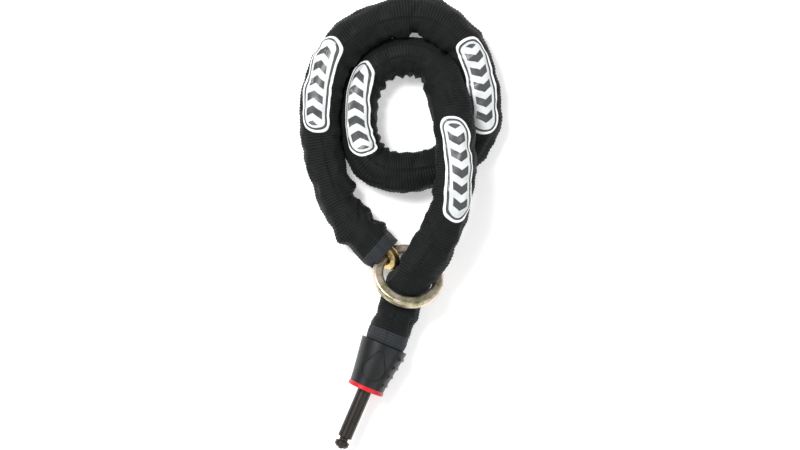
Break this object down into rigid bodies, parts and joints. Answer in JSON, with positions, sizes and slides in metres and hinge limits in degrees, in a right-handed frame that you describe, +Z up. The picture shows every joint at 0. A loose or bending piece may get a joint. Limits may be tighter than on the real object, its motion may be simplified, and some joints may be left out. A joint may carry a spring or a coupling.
{
  "type": "plug-in security chain for a bicycle frame lock",
  "caption": "Square-link steel chain in a black ribbed sleeve, loosely coiled, with a noose ring at one end, the tail passed through it, and a plug with a grooved locking pin",
  "frame": {"origin": "middle of the base of the bounding box, on the surface the chain lies on", "axes": "+Z up, +Y along the coil's long direction away from the plug, +X to the right when looking along +Y"},
  "size_m": [0.1383, 0.3147, 0.0507],
  "materials": {
    "sleeve": "ribbed woven textile tube",
    "hem": "smooth dense band",
    "label": "reflective patch",
    "chain_steel": "hardened square-bar links, zinc plated",
    "end_link_steel": "yellow chromate",
    "ring_steel": "dull yellow zinc",
    "housing_plastic": "dark grey moulded",
    "inlay_rubber": "soft grip inlay",
    "collar_plastic": "bright red",
    "pin_steel": "black burnished hardened steel",
    "rivet_steel": "plain"
  },
  "bodies": {
    "sleeved_chain": {"woven_sleeve": "sleeve", "sleeve_hem_at_ring": "hem", "sleeve_hem_at_plug": "hem", "reflective_label_1": "label", "reflective_label_2": "label", "reflective_label_3": "label", "reflective_label_4": "label", "chain_link_01": "chain_steel", "chain_link_02": "chain_steel", "chain_link_03": "chain_steel", "chain_link_04": "chain_steel", "chain_link_05": "chain_steel", "chain_link_06": "chain_steel", "chain_link_07": "chain_steel", "chain_link_08": "chain_steel", "chain_link_09": "chain_steel", "chain_link_10": "chain_steel", "chain_link_11": "chain_steel", "chain_link_12": "chain_steel", "chain_link_13": "chain_steel", "chain_link_14": "chain_steel", "chain_link_15": "chain_steel", "chain_link_16": "chain_steel", "chain_link_17": "chain_steel", "chain_link_18": "chain_steel", "chain_link_19": "chain_steel", "chain_link_20": "chain_steel", "chain_link_21": "chain_steel", "chain_link_22": "chain_steel", "chain_link_23": "chain_steel", "chain_link_24": "chain_steel", "chain_link_25": "chain_steel", "chain_link_26": "chain_steel", "chain_link_27": "chain_steel", "chain_link_28": "chain_steel", "chain_link_29": "chain_steel", "chain_link_30": "chain_steel", "chain_link_31": "chain_steel", "chain_link_32": "chain_steel", "chain_link_33": "chain_steel"},
    "end_link": {"ring_end_link": "end_link_steel"},
    "ring": {"noose_ring": "ring_steel"},
    "plug_link": {"plug_end_link": "chain_steel"},
    "plug": {"plug_housing": "housing_plastic", "plug_collar": "collar_plastic", "locking_pin": "pin_steel", "link_rivet": "rivet_steel", "grip_inlay_top": "inlay_rubber", "grip_inlay_bottom": "inlay_rubber"}
  },
  "joints": [
    {"name": "end_link_swing", "type": "hinge", "parent": "sleeved_chain", "child": "end_link", "pos_m": [-0.02285, -0.00951, 0.01245], "axis": [0, 0, 1], "range_deg": [-2, 2]},
    {"name": "ring_slip", "type": "hinge", "parent": "end_link", "child": "ring", "pos_m": [0.0056, -0.0357, 0.0182], "axis": [0.1913, 0.5255, 0.829], "continuous": true},
    {"name": "plug_link_yaw", "type": "hinge", "parent": "sleeved_chain", "child": "plug_link", "pos_m": [-0.00824, -0.07759, 0.0141], "axis": [0, 0, 1], "range_deg": [-3, 3]},
    {"name": "plug_tilt", "type": "hinge", "parent": "plug_link", "child": "plug", "pos_m": [-0.01575, -0.09504, 0.0141], "axis": [0.6494, -0.2797, 0.7071], "range_deg": [-2, 2]}
  ]
}
